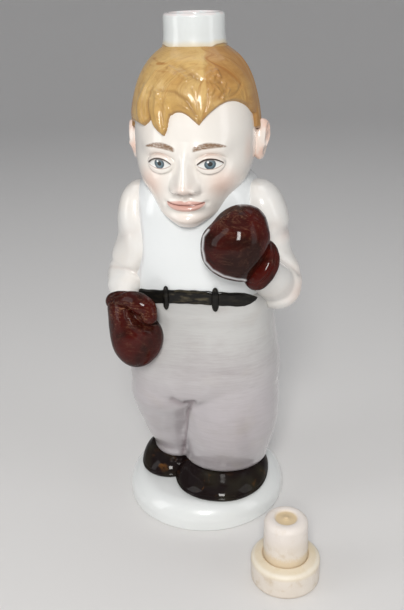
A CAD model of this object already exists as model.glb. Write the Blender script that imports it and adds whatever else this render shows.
# %% [markdown]
# # A porcelain figure decanter
# The object is a slip-cast, glazed boxer on a round plinth, with a pouring neck in the crown of the
# head and its plastic stopper standing beside it. The fixed frame, made in CAD, gives every piece its
# size and place. Here each piece is made again as a finished surface: soft, glazed and hand-painted.

import itertools
import math

import bpy
import numpy as np
from mathutils import Matrix, Vector


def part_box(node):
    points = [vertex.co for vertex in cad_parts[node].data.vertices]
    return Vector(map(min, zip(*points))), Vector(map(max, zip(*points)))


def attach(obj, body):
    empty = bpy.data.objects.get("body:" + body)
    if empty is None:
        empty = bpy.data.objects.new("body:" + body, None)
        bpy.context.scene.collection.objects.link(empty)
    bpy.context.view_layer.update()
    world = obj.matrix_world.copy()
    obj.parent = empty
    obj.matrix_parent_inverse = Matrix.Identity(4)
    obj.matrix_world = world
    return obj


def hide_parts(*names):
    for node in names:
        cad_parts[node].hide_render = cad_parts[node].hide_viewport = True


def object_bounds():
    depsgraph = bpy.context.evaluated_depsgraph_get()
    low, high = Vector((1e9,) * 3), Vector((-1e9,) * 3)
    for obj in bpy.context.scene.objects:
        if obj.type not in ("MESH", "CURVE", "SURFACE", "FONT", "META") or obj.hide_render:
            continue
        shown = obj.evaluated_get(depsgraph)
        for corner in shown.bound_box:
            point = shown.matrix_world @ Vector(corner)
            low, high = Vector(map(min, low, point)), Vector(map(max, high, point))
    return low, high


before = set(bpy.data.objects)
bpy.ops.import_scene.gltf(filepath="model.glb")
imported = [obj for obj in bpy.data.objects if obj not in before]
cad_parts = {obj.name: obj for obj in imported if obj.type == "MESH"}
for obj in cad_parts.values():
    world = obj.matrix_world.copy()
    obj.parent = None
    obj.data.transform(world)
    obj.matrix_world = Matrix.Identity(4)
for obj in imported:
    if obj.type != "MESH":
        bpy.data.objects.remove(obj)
cad_low, cad_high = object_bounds()
MM = 0.001
print("frame", [round((high - low) / MM, 1) for low, high in zip(cad_low, cad_high)], "mm")

# %% [markdown]
# ## The camera
# The photograph was taken a little above the head and a little to the figure's left, looking down.
# The figure's own height gives the distance, and the widths of plinth and neck give the pitch. The
# photograph is also turned very slightly, which a roll about the line of sight repeats.

# %% The photograph's viewing angle
PHOTO_WIDTH, PHOTO_HEIGHT = 404, 610
CAMERA_PLACE, CAMERA_LENS, SENSOR_WIDTH = (0.0675, -0.3825, 0.2845), 46.16, 36
HEADING, PITCH, ROLL = 10, 66.553, -1.582


def set_camera():
    """Adds the camera at its place, turned by heading, pitch and roll in degrees."""
    bpy.ops.object.camera_add()
    camera = bpy.context.active_object
    camera.name = "photograph_camera"
    placed = Matrix.Translation(CAMERA_PLACE)
    for degrees, axis in ((HEADING, "Z"), (PITCH, "X"), (ROLL, "Z")):
        placed = placed @ Matrix.Rotation(math.radians(degrees), 4, axis)
    camera.matrix_world = placed
    camera.data.lens, camera.data.sensor_width = CAMERA_LENS, SENSOR_WIDTH
    camera.data.clip_start = 0.01
    bpy.context.scene.camera = camera
    return camera


camera = set_camera()
FOCAL_PIXELS = PHOTO_HEIGHT * camera.data.lens / camera.data.sensor_width
VIEW_POINT = np.array(camera.matrix_world.translation) / MM
VIEW_AXES = np.array(camera.matrix_world.to_3x3())
print("camera", VIEW_POINT.round(1), "mm")

# %% [markdown]
# ## Helpers for modelling
# Blender's operators act on whatever is selected, so one helper makes the selection. Others read and
# write all of a mesh's points at once, which is how the clay-like forms are shaped.

# %% Select, apply, read and write
def only(*pieces):
    """Selects these pieces and makes the first the active one."""
    bpy.ops.object.select_all(action="DESELECT")
    for piece in pieces:
        piece.select_set(True)
    bpy.context.view_layer.objects.active = pieces[0]


def finish_with(piece, kind, **settings):
    """Adds a modifier with its settings and applies it."""
    only(piece)
    modifier = piece.modifiers.new(kind.lower(), kind)
    for name, value in settings.items():
        setattr(modifier, name, value)
    bpy.ops.object.modifier_apply(modifier=modifier.name)


def smoothed(piece, steps):
    finish_with(piece, "SMOOTH", factor=0.5, iterations=steps)
    return piece


def surface_of(piece):
    """The piece's points in millimetres and its outward direction at each, one row each."""
    flat = np.empty((2, len(piece.data.vertices) * 3))
    piece.data.vertices.foreach_get("co", flat[0])
    piece.data.vertices.foreach_get("normal", flat[1])
    return flat[0].reshape(-1, 3) / MM, flat[1].reshape(-1, 3)


def points_of(piece):
    return surface_of(piece)[0]


def move_points(piece, points):
    """Writes the points back, from millimetres."""
    piece.data.vertices.foreach_set("co", (points * MM).ravel())
    piece.data.update()
    return piece


def raise_surface(piece, height):
    """Moves every point along its outward direction, by heights in millimetres."""
    points, normals = surface_of(piece)
    return move_points(piece, points + normals * height[:, None])


def store(piece, name, values):
    """Keeps one number for each point, for the shader to read."""
    layer = piece.data.attributes.new(name, "FLOAT", "POINT")
    layer.data.foreach_set("value", values.astype(np.float32))


def smooth_shaded(piece):
    only(piece)
    bpy.ops.object.shade_smooth()


def fused(pieces, name, voxel, smooth_steps):
    """Several forms melted into one skin, as luted clay is, then smoothed."""
    only(*pieces)
    bpy.ops.object.join()
    pieces[0].name = name
    finish_with(pieces[0], "REMESH", mode="VOXEL", voxel_size=voxel * MM)
    return smoothed(pieces[0], smooth_steps)


# %% [markdown]
# ## Oval forms
# Each clay form is an egg whose level rings are ovals, listed from the lowest to the highest. A UV
# sphere already has such rings, so every ring is scaled and moved onto its oval. The list is read
# smoothly between its rows, so a few rows give a soft surface.

# %% Rows of ovals and the sphere that takes their shape
# The share of a form's height, at each end, over which it closes.
END_SHARE = 0.04
SPHERE_CUTS = 3


def eased(rows, levels):
    """Rows at the given levels, read smoothly from rows sorted by level."""
    rows = np.array(rows, float)
    known = rows[:, 0]
    slopes = np.gradient(rows, known, axis=0)
    place = np.clip(np.searchsorted(known, levels) - 1, 0, len(known) - 2)
    span = (known[place + 1] - known[place])[:, None]
    part = ((levels - known[place])[:, None]) / span
    square, cube = part * part, part * part * part
    keep = (2 * cube - 3 * square + 1) * rows[place] + (3 * square - 2 * cube) * rows[place + 1]
    lean = (cube - 2 * square + part) * (slopes[place] * span)
    return keep + lean + (cube - square) * (slopes[place + 1] * span)


def real_rows(shares, low, high, half_width, half_depth):
    """A table of shares turned into rows of real sizes."""
    sizes = (high - low, half_width, half_depth, half_width, half_depth, 1)
    return np.array(shares) * sizes + (low, 0, 0, 0, 0, 0)


def oval_reach(rows, points):
    """How far out each point lies on the oval of its level, as a share of that oval."""
    middle_x, middle_y, wide, deep, power = eased(rows, np.clip(points[:, 2], rows[0][0], rows[-1][0])).T[1:]
    across, along = np.abs((points[:, 0] - middle_x) / wide), np.abs((points[:, 1] - middle_y) / deep)
    return (across**power + along**power) ** (1 / power)


def unit(vectors):
    """The vectors, each with a length of one."""
    return vectors / np.linalg.norm(vectors, axis=-1, keepdims=True)


def polar(offsets):
    """Each offset's angle and length."""
    return np.arctan2(offsets[:, 1], offsets[:, 0]), np.hypot(offsets[:, 0], offsets[:, 1])


def ring_about(axis, beside, turn):
    """Directions square to an axis, one for each turn about it."""
    side = unit(np.cross(axis, beside))
    return np.cos(turn)[:, None] * side + np.sin(turn)[:, None] * np.cross(side, axis)


def unit_ball(name, sides, rings):
    """A coarse UV sphere, cut finer three times over, and its points set back on the unit sphere."""
    bpy.ops.object.select_all(action="DESELECT")
    coarse = {"segments": sides // 2**SPHERE_CUTS, "ring_count": rings // 2**SPHERE_CUTS}
    bpy.ops.mesh.primitive_uv_sphere_add(radius=MM, **coarse)
    piece = bpy.context.active_object
    piece.name = name
    finish_with(piece, "SUBSURF", subdivision_type="SIMPLE", levels=SPHERE_CUTS)
    return piece, unit(points_of(piece))


def rise_of(ball):
    """How far up the sphere each point lies: nothing at the foot, one at the top."""
    return 1 - np.arccos(np.clip(ball[:, 2], -1, 1)) / math.pi


def oval_form(name, rows, sides=128, rings=96, front_share=0.0):
    """A UV sphere whose rings lie on the rows' ovals. A front share packs more points in front."""
    piece, ball = unit_ball(name, sides, rings)
    up = rise_of(ball)
    turn = np.arctan2(ball[:, 0], -ball[:, 1])
    turn = turn - front_share * np.sin(turn)
    closing = np.clip(np.minimum(up, 1 - up) / END_SHARE, 0, 1)
    inner = np.clip((up - END_SHARE) / (1 - 2 * END_SHARE), 0, 1)
    low, high = rows[0][0], rows[-1][0]
    level, middle_x, middle_y, wide, deep, power = eased(rows, low + inner * (high - low)).T
    across, along = np.sin(turn), -np.cos(turn)
    reach = (np.abs(across) ** power + np.abs(along) ** power) ** (-1 / power) * closing
    ovals = np.stack([middle_x + wide * reach * across, middle_y + deep * reach * along, level], 1)
    return move_points(piece, ovals)


def egg(name, centre, halves, sides=96, rings=64):
    """An egg of three half sizes about a centre."""
    piece, ball = unit_ball(name, sides, rings)
    return move_points(piece, ball * np.array(halves) + np.array(centre))


def limb(name, path, radii, sides=96, rings=72):
    """A round limb along a path: a sphere drawn out along it, with radii spaced evenly."""
    piece, ball = unit_ball(name, sides, rings)
    path = np.array(path, float)
    lengths = np.concatenate([[0], np.cumsum(np.linalg.norm(np.diff(path, axis=0), axis=1))])
    span = lengths[-1]
    reach = rise_of(ball) * (span + radii[0] + radii[-1]) - radii[0]
    inner = np.clip(reach, 0, span)
    middle, after, before = (
        eased(np.column_stack([lengths, path]), np.clip(inner + shift, 0, span))[:, 1:]
        for shift in (0, 0.5, -0.5)
    )
    ahead = unit(after - before)
    middle = middle + ahead * (reach - inner)[:, None]
    radius = np.interp(inner / span, np.linspace(0, 1, len(radii)), radii)
    past = np.abs(reach - inner) / np.where(reach < 0, radii[0], radii[-1])
    radius = radius * np.sqrt(np.clip(1 - past * past, 0, 1))
    ring = ring_about(ahead, (0.3, 0.9, 0.3), polar(ball)[0])
    return move_points(piece, middle + ring * radius[:, None])


# %% [markdown]
# ## Helpers for sculpting
# A bump or a dent is a soft hill in the piece's own coordinates, and a groove is a thin one along a
# line. They are added up first, and then every point moves once along its outward direction.

# %% Soft hills, steps and noise
# The noise repeats after this many lumps, and is raised to fill the range from -1 to 1.
NOISE_LUMPS, NOISE_GAIN = 32, 1.4


def hill(offset, half_width):
    """One at no offset, falling to nothing past about twice the half width."""
    return np.exp(-((offset / half_width) ** 2))


def step(value, low, high):
    """Nothing below low, one above high, and a soft slope between."""
    part = np.clip((value - low) / (high - low), 0, 1)
    return part * part * (3 - 2 * part)


def lumps(points, size, seed):
    """Soft noise between about -1 and 1, with lumps of the given size in millimetres."""
    heights = np.random.default_rng(seed).uniform(-1, 1, (NOISE_LUMPS, NOISE_LUMPS, NOISE_LUMPS))
    corner = np.floor(points / size).astype(int)
    part = points / size - corner
    part = part * part * (3 - 2 * part)
    total = np.zeros(len(points))
    for shift in itertools.product((0, 1), repeat=3):
        x, y, z = ((corner + shift) % NOISE_LUMPS).T
        total += np.prod(np.where(shift, part, 1 - part), axis=1) * heights[x, y, z]
    return total * NOISE_GAIN


def near(points, path):
    """How far each point lies from a line of several straight stretches."""
    path = np.array(path, float)
    best = np.full(len(points), 1e9)
    for start, end in zip(path[:-1], path[1:]):
        along = end - start
        part = np.clip((points - start) @ along / (along @ along), 0, 1)
        best = np.minimum(best, np.linalg.norm(points - start - part[:, None] * along, axis=1))
    return best


# %% [markdown]
# ## Shader maths
# A wrapped socket lets a painted pattern be written as a formula. Every operator on it adds one Math
# node, and mixing two colours adds one Mix node.

# %% The socket wrapper
OPERATIONS = {
    "__add__": "ADD",
    "__radd__": "ADD",
    "__sub__": "SUBTRACT",
    "__mul__": "MULTIPLY",
    "__rmul__": "MULTIPLY",
    "__truediv__": "DIVIDE",
    "size": "ABSOLUTE",
    "root": "SQRT",
    "least": "MINIMUM",
    "most": "MAXIMUM",
}


class Paint:
    """One socket of a material's node tree, with operators."""

    def __init__(self, tree, socket):
        self.tree = tree
        self.socket = socket

    def node(self, kind, settings=None, output=0, **values):
        """Any other node: its type, its settings, then the values or links of its sockets."""
        made = self.tree.nodes.new(kind)
        for name, value in (settings or {}).items():
            setattr(made, name, value)
        for name, value in values.items():
            place = int(name[1:]) if name[0] == "s" and name[1:].isdigit() else name.replace("_", " ")
            plug_in(self.tree, made.inputs[place], value)
        return Paint(self.tree, made.outputs[output])

    def __rsub__(self, other):
        return self.node("ShaderNodeMath", {"operation": "SUBTRACT"}, s0=other, s1=self)

    def rise(self, low, high):
        """Nothing below low, one above high, softly between."""
        settings = {"interpolation_type": "SMOOTHSTEP"}
        return self.node("ShaderNodeMapRange", settings, s0=self, s1=low, s2=high, s3=0.0, s4=1.0)

    def spot(self, middle, half_width):
        """One at the middle, fading to nothing at the half width."""
        return 1.0 - (self - middle).size().rise(0.0, half_width)

    def dome(self, middle, half_width):
        """One at the middle, curving down to nothing at the half width and below it farther out."""
        share = (self - middle) / half_width
        return 1.0 - share * share

    def over(self, below, above):
        """A colour mixed from below to above by this mask."""
        return self.node("ShaderNodeMix", {"data_type": "RGBA"}, output=2, s0=self, s6=below, s7=above)

    def cloud(self, scale, detail=3.0, roughness=0.5, stretch=(1, 1, 1), distortion=0.0):
        """Noise of this vector, with its scale in lumps per millimetre along each axis."""
        placed = self.node("ShaderNodeMapping", Vector=self, Scale=stretch)
        noise = {"Scale": scale, "Detail": detail, "Roughness": roughness, "Distortion": distortion}
        return self.node("ShaderNodeTexNoise", Vector=placed, **noise)


def plug_in(tree, socket, value):
    """Links a Paint to the socket, or sets a plain value or a colour."""
    if isinstance(value, Paint):
        tree.links.new(value.socket, socket)
    else:
        socket.default_value = (*value, 1) if socket.type == "RGBA" else value


def operator(operation):
    def method(self, *others):
        values = {"s%d" % place: value for place, value in enumerate((self, *others))}
        return self.node("ShaderNodeMath", {"operation": operation}, **values)

    return method


for method_name, operation_name in OPERATIONS.items():
    setattr(Paint, method_name, operator(operation_name))


class Finish:
    """A new material, with the piece's own coordinates in millimetres and the colour painted so far."""

    def __init__(self, name, colour=None):
        self.material = bpy.data.materials.new(name)
        self.material.use_nodes = True
        self.tree = self.material.node_tree
        self.start = Paint(self.tree, None)
        raw = self.start.node("ShaderNodeTexCoord", output=3)
        self.place = raw.node("ShaderNodeVectorMath", {"operation": "SCALE"}, s0=raw, s3=1 / MM)
        self.x, self.y, self.z = (
            self.place.node("ShaderNodeSeparateXYZ", output=axis, Vector=self.place) for axis in range(3)
        )
        self.colour = colour

    def cloud(self, *settings, **more):
        return self.place.cloud(*settings, **more)

    def attribute(self, name):
        return self.start.node("ShaderNodeAttribute", {"attribute_name": name}, output=2)

    def white(self, thin, thick):
        """White clay under clear glaze, a little darker where the glaze is thick."""
        self.colour = self.cloud(0.02, detail=1.0).rise(0.35, 0.7).over(thin, thick)

    def lay(self, mask, colour):
        """Lays a colour over what is painted so far, where the mask is strong."""
        self.colour = mask.over(self.colour, colour)

    def glazed(self, gloss, bump=0.0, height=None):
        """Ends the material with a gloss, and a bump in millimetres from a height of 0 to 1."""
        shader = self.tree.nodes["Principled BSDF"]
        values = {"Base Color": self.colour, **gloss}
        if bump:
            height = height or self.cloud(0.06, detail=2.0)
            values["Normal"] = height.node("ShaderNodeBump", Strength=1.0, Distance=bump * MM, Height=height)
        for name, value in values.items():
            plug_in(self.tree, shader.inputs[name], value)
        return self.material


def coat(piece, material, slot, *nodes):
    """Paints a finished piece and says which CAD nodes it stands for."""
    piece.data.materials.clear()
    piece.data.materials.append(material)
    smooth_shaded(piece)
    body = "stopper" if nodes[0].startswith("stopper") else "decanter"
    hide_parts(*nodes)
    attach(piece, body)
    low, high = points_of(piece).min(0), points_of(piece).max(0)
    print(piece.name, len(piece.data.polygons), "faces,", np.round(low, 1), "to", np.round(high, 1), "mm")


# %% [markdown]
# ## Glosses
# Every glaze is a mirror-smooth coat over a body that is a little duller. It is thinner over the dark
# colours, and it pools, so the gloss waves very slightly.

# %% Gloss of each glaze
WHITE_GLOSS = {"Roughness": 0.28, "Coat Weight": 1.0, "Coat Roughness": 0.045}
SKIN_GLOSS = {"Roughness": 0.30, "Coat Weight": 1.0, "Coat Roughness": 0.05}
HAIR_GLOSS = {"Roughness": 0.4, "Specular IOR Level": 0.15, "Coat Weight": 0.6, "Coat Roughness": 0.10}
DARK_GLOSS = {"Roughness": 0.4, "Specular IOR Level": 0.0, "Coat Weight": 0.38, "Coat Roughness": 0.07}
SHOE_GLOSS = {"Roughness": 0.4, "Specular IOR Level": 0.0, "Coat Weight": 0.32, "Coat Roughness": 0.05}

# %% [markdown]
# ## Turned pieces
# Plinth, neck, cap and plug are round, so each is spun: the half outline is drawn in the XZ plane
# and turned once about the upright axis. Doubles on the axis are merged, and the walls turned outward.

# %% Spin an outline
def spun(name, outline, centre=(0, 0), steps=128):
    """Turns an outline of (radius, height) points into a closed piece."""
    mesh = bpy.data.meshes.new(name)
    corners = [((centre[0] + radius) * MM, centre[1] * MM, height * MM) for radius, height in outline]
    mesh.from_pydata(corners, [(n, n + 1) for n in range(len(corners) - 1)], [])
    piece = bpy.data.objects.new(name, mesh)
    bpy.context.scene.collection.objects.link(piece)
    only(piece)
    bpy.ops.object.mode_set(mode="EDIT")
    bpy.ops.mesh.select_all(action="SELECT")
    axis_foot = (centre[0] * MM, centre[1] * MM, 0)
    bpy.ops.mesh.spin(steps=steps, angle=2 * math.pi, center=axis_foot, axis=(0, 0, 1))
    bpy.ops.mesh.select_all(action="SELECT")
    bpy.ops.mesh.remove_doubles(threshold=0.00001)
    bpy.ops.mesh.normals_make_consistent(inside=False)
    bpy.ops.object.mode_set(mode="OBJECT")
    return piece


def arc(centre, radius, start, end, count=10):
    """Points on a round stretch of an outline, with its angles in degrees."""
    turns = [math.radians(start + (end - start) * n / count) for n in range(count + 1)]
    return [(centre[0] + radius * math.cos(turn), centre[1] + radius * math.sin(turn)) for turn in turns]


# %% [markdown]
# ## Plinth
# The plinth is a low round mound with a soft shoulder, glazed a cool white. It stands on a foot ring,
# and the clay inside the ring is recessed, which shows from below.

# %% Plinth
PLINTH_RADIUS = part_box("plinth")[1].x / MM
PLINTH_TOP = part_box("plinth")[1].z / MM
FOOT_RING_WIDTH, FOOT_RECESS = 6.0, 3.0
PLINTH_SHOULDER, PLINTH_EDGE = 9.5, 1.2


def make_plinth():
    ring = PLINTH_RADIUS - FOOT_RING_WIDTH
    shoulder, edge = PLINTH_SHOULDER, PLINTH_EDGE
    outline = [(0, PLINTH_TOP), (PLINTH_RADIUS * 0.4, PLINTH_TOP)]
    outline += [(PLINTH_RADIUS - shoulder, PLINTH_TOP)]
    outline += arc((PLINTH_RADIUS - shoulder, PLINTH_TOP - shoulder), shoulder, 84, 0, 14)
    outline += [(PLINTH_RADIUS, 2.6)] + arc((PLINTH_RADIUS - edge, edge), edge, 0, -90, 5)
    outline += [(ring + 0.8, 0), (ring, 0.8)]
    outline += [(radius, FOOT_RECESS) for radius in (ring, ring * 0.5, 0)]
    return spun("plinth_mound", outline)


def plinth_paint():
    finish = Finish("white_glaze")
    finish.white((0.80, 0.825, 0.82), (0.772, 0.796125, 0.7913))
    return finish.glazed(WHITE_GLOSS, 0.12)


coat(make_plinth(), plinth_paint(), "white_glaze", "plinth")

# %% [markdown]
# ## Pouring neck
# A plain tube through the crown, with a rounded rim and a small flare where it was luted to the head.

# %% Pouring neck
NECK_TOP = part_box("pouring_neck")[1].z / MM
NECK_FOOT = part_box("pouring_neck")[0].z / MM
NECK_RADIUS, BORE_RADIUS, NECK_FLARE = 14.7, 11.15, 0.9
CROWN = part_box("hair")[1].z / MM


def make_neck():
    rim = (NECK_RADIUS - BORE_RADIUS) / 2
    outline = [(BORE_RADIUS, NECK_FOOT), (BORE_RADIUS, NECK_TOP - rim - 0.2)]
    outline += arc((BORE_RADIUS + rim, NECK_TOP - rim), rim, 180, 0, 14)
    outline += [(NECK_RADIUS, CROWN + 6), (NECK_RADIUS + 0.25 * NECK_FLARE, CROWN + 2.4)]
    outline += [(NECK_RADIUS + NECK_FLARE, CROWN), (NECK_RADIUS, NECK_FOOT), (BORE_RADIUS, NECK_FOOT)]
    return spun("neck_tube", outline)


def neck_paint():
    """White glaze, with the hair's glaze crept up the foot in a wavy line and a warm blush at the rim."""
    finish = Finish("neck_glaze")
    height = finish.z - CROWN - (finish.cloud(0.085, detail=1.0) - 0.5) * 5.5
    finish.white((0.73, 0.765, 0.765), (0.70, 0.735, 0.735))
    finish.lay((1.0 - height.rise(0.6, 3.2)) * 0.8, (0.74, 0.64, 0.44))
    finish.lay(1.0 - height.rise(0.2, 0.6), (0.36, 0.23, 0.10))
    finish.lay(1.0 - height.rise(-0.5, 0.1), (0.54, 0.34, 0.115))
    rim = finish.z.rise(NECK_TOP - 1.6, NECK_TOP - 0.6) * finish.cloud(0.3).rise(0.35, 0.6)
    finish.lay(rim * 0.55, (0.80, 0.66, 0.64))
    return finish.glazed(WHITE_GLOSS, 0.12)


coat(make_neck(), neck_paint(), "white_glaze", "pouring_neck")

# %% [markdown]
# ## The body's forms
# Seat, legs, chest, skull, arms and shoes are the same ovals as in the frame, given as shares of each
# piece's half width and half depth. A row reads: how far up, middle across, middle back, half width,
# half depth, and how square the oval is.

# %% Sizes in millimetres, from the frame
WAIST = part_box("trousers")[1].z / MM
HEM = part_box("trousers")[0].z / MM
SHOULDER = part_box("torso")[1].z / MM
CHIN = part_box("head")[0].z / MM
SEAT = 50.0
LEG_TOP = SEAT + 0.6 * (WAIST - SEAT)
HAIR_THICKNESS = 1.6
SCALP = CROWN - HAIR_THICKNESS
HIP_HALVES = (41.2, 34.6)
WAIST_HALVES = (36.8, 31.2)
CHEST_HALVES = (34.2, 31.0)
HEAD_HALVES = (29.6, 34.8)
ARM_HALVES = (11.2, 14.0)

SEAT_SHARES = (
    (0.0, 0.03, 0.0, 0.6, 0.3, 2.2),
    (0.12, 0.03, -0.01, 0.82, 0.52, 2.3),
    (0.22, 0.03, -0.03, 0.93, 0.78, 2.4),
    (0.32, 0.035, -0.04, 0.985, 0.96, 2.5),
    (0.42, 0.035, -0.05, 1.0, 1.0, 2.5),
    (0.58, 0.02, -0.03, 0.96, 0.97, 2.7),
    (0.76, 0.01, -0.01, 0.915, 0.935, 2.9),
    (1.0, 0.0, 0.0, 0.893, 0.902, 3.0),
)
LEFT_LEG_SHARES = (
    (0.0, 0.28, -0.07, 0.555, 0.6, 2.0),
    (0.07, 0.3, -0.09, 0.585, 0.66, 2.0),
    (0.17, 0.32, -0.11, 0.615, 0.74, 2.1),
    (0.3, 0.355, -0.12, 0.645, 0.82, 2.1),
    (0.46, 0.385, -0.1, 0.645, 0.9, 2.2),
    (0.62, 0.395, -0.07, 0.63, 0.95, 2.2),
    (0.8, 0.39, -0.05, 0.58, 0.92, 2.2),
    (1.0, 0.34, -0.03, 0.36, 0.55, 2.2),
)
RIGHT_LEG_SHARES = (
    (0.0, -0.375, 0.14, 0.345, 0.47, 2.0),
    (0.07, -0.385, 0.14, 0.365, 0.51, 2.0),
    (0.17, -0.405, 0.12, 0.415, 0.58, 2.1),
    (0.3, -0.425, 0.1, 0.475, 0.67, 2.1),
    (0.46, -0.425, 0.05, 0.535, 0.81, 2.2),
    (0.62, -0.39, 0.0, 0.585, 0.92, 2.2),
    (0.8, -0.35, -0.02, 0.56, 0.9, 2.2),
    (1.0, -0.3, 0.0, 0.35, 0.55, 2.2),
)
TORSO_SHARES = (
    (0.0, 0.0, 0.0, 1.076, 1.006, 3.0),
    (0.2, 0.0, 0.0, 1.025, 1.0, 2.9),
    (0.43, 0.0, 0.0, 1.0, 1.0, 2.8),
    (0.64, 0.0, 0.0, 0.985, 0.985, 2.7),
    (0.8, 0.0, 0.0, 0.955, 0.95, 2.6),
    (0.91, 0.0, 0.0, 0.88, 0.89, 2.5),
    (1.0, 0.0, 0.0, 0.75, 0.78, 2.4),
)
HEAD_SHARES = (
    (0.0, 0.0, -0.9, 0.16, 0.08, 2.0),
    (0.05, 0.0, -0.78, 0.4, 0.26, 2.0),
    (0.12, 0.0, -0.54, 0.62, 0.5, 2.0),
    (0.21, 0.0, -0.24, 0.83, 0.8, 2.1),
    (0.32, 0.0, -0.11, 0.955, 0.955, 2.2),
    (0.46, 0.0, -0.07, 1.0, 1.0, 2.2),
    (0.62, 0.0, -0.05, 0.975, 0.98, 2.1),
    (0.73, 0.0, -0.04, 0.92, 0.93, 2.1),
    (0.82, 0.0, -0.03, 0.85, 0.85, 2.0),
    (0.89, 0.0, -0.02, 0.755, 0.74, 2.0),
    (0.95, 0.0, -0.01, 0.62, 0.6, 2.0),
    (1.0, 0.0, 0.0, 0.45, 0.43, 2.0),
)
SEAT_ROWS = real_rows(SEAT_SHARES, SEAT, WAIST, *HIP_HALVES)
CHEST_ROWS = real_rows(TORSO_SHARES, WAIST - 1.0, SHOULDER, *CHEST_HALVES)
SKULL_ROWS = real_rows(HEAD_SHARES, CHIN, SCALP, *HEAD_HALVES)

# %% [markdown]
# ## Places read off the photograph
# The hair's strands, the gloves' outlines and the folds are noted as pixels of the photograph. A ray
# from the camera through a pixel meets the skull at the place that is meant, and a point of any piece
# can be asked where it is seen, so strokes and outlines follow the picture.

# %% Between pixels and places on a form
PHOTO_MIDDLE = np.array((PHOTO_WIDTH, PHOTO_HEIGHT)) / 2
NEAREST, FARTHEST, RAY_STEP = 250, 560, 0.1
OUTLINE_PARTS = 72


def ray_through(pixel):
    """The direction from the camera through a pixel."""
    across, down = np.array(pixel) - PHOTO_MIDDLE
    ahead = camera.matrix_world.to_3x3() @ Vector((across / FOCAL_PIXELS, -down / FOCAL_PIXELS, -1))
    return np.array(ahead.normalized())


def on_skull(pixels):
    """Where the rays through pixels first meet the skull."""
    met = []
    for pixel in pixels:
        places = VIEW_POINT + np.outer(np.arange(NEAREST, FARTHEST, RAY_STEP), ray_through(pixel))
        level = places[:, 2]
        inside = (oval_reach(SKULL_ROWS, places) < 1) & (level > CHIN) & (level < SCALP + 1)
        met.append(places[np.argmax(inside)])
    return np.array(met)


def in_picture(points):
    """Where each point is seen, in pixels, and how many millimetres a pixel spans there."""
    offset = (points - VIEW_POINT) @ VIEW_AXES
    span = -offset[:, 2] / FOCAL_PIXELS
    return PHOTO_MIDDLE + offset[:, :2] * (1, -1) / span[:, None], span


def facing(normals):
    """One where the surface faces the camera, nothing where it faces away."""
    return step(normals @ VIEW_AXES[:, 2], 0.0, 0.3)


def stroke(points, pixels):
    """How far each point is seen from a line drawn in the photograph, in millimetres."""
    seen, span = in_picture(points)
    return near(seen, pixels) * span


def drawn_hills(points, lines):
    """Hills along lines drawn in the photograph, each with its rise, half width and pixels."""
    return sum(rise * hill(stroke(points, pixels), width) for rise, width, pixels in lines)


def fit_outline(points, centre, pixels):
    """Moves points across the line of sight until the form's outline is the one drawn."""
    seen, span = in_picture(points)
    middle = in_picture(np.array([centre], float))[0][0]
    turn, reach = polar(seen - middle)
    present = np.zeros(OUTLINE_PARTS + 1)
    slot = np.round((turn + math.pi) / (2 * math.pi) * OUTLINE_PARTS).astype(int)
    np.maximum.at(present, slot, reach)
    places = np.linspace(-math.pi, math.pi, OUTLINE_PARTS + 1)
    wanted = np.interp(places, *polar(np.array(pixels) - middle), period=2 * math.pi)
    ratio = (wanted / present)[:-1]
    for _ in range(3):
        ratio = (np.roll(ratio, 1) + 2 * ratio + np.roll(ratio, -1)) / 4
    scale = np.interp(turn, places, np.append(ratio, ratio[0])) - 1
    move = ((seen - middle) * (1, -1)) @ VIEW_AXES[:, :2].T * span[:, None]
    return points + move * scale[:, None]


# %% [markdown]
# ## Trousers
# Seat and legs were cast together. The three forms are melted into one skin, so that the creases
# between them come out soft, and the cloth gets shallow folds. The paint is a thin grey-lilac wash
# laid on in level brush strokes, over the white clay, and it is thinnest where the cloth is full.

# %% Trousers
SPLIT_PIXELS = ((193, 404), (188, 411), (186, 425), (184, 440), (183, 453))
CROTCH_PIXELS = ((172, 399.5), (182, 404), (194, 403))
# Each fold's lean, its foot, its top and its depth, and where the folds would cross.
TROUSER_FOLDS = ((0.55, 60, 84, 0.35), (-0.50, 58, 82, 0.30))
FOLD_SIDE, FOLD_LEVEL, FOLD_HALF_WIDTH = -2, 66, 3.0


def make_trousers():
    forms = [oval_form("seat", SEAT_ROWS)]
    for name, shares in (("left_leg", LEFT_LEG_SHARES), ("right_leg", RIGHT_LEG_SHARES)):
        forms.append(oval_form(name, real_rows(shares, HEM, LEG_TOP, *HIP_HALVES)))
    piece = fused(forms, "trousers_cloth", 0.9, 8)
    points, normals = surface_of(piece)
    x, y, z = points.T
    front, seen = step(-y, 4, 20), facing(normals)
    split, crotch = stroke(points, SPLIT_PIXELS), stroke(points, CROTCH_PIXELS)
    height = 0.30 * lumps(points * (0.7, 0.7, 1.7), 17, 3)
    height -= (1.0 * hill(split, 0.9) + 0.9 * hill(crotch, 1.2)) * seen
    height += 0.8 * hill(z - WAIST + 10.0, 5.5) * front
    for lean, foot, top, depth in TROUSER_FOLDS:
        stretch = step(z, foot - 8, foot) * (1 - step(z, top, top + 8))
        aside = x - FOLD_SIDE - lean * (z - FOLD_LEVEL)
        height += depth * hill(aside, FOLD_HALF_WIDTH) * stretch * front
    raise_surface(piece, height + 0.5 * hill(z - HEM - 2.5, 2.5))
    store(piece, "fold", np.maximum(hill(split, 0.8), hill(crotch, 1.5) * 0.8) * seen)
    return piece


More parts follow.
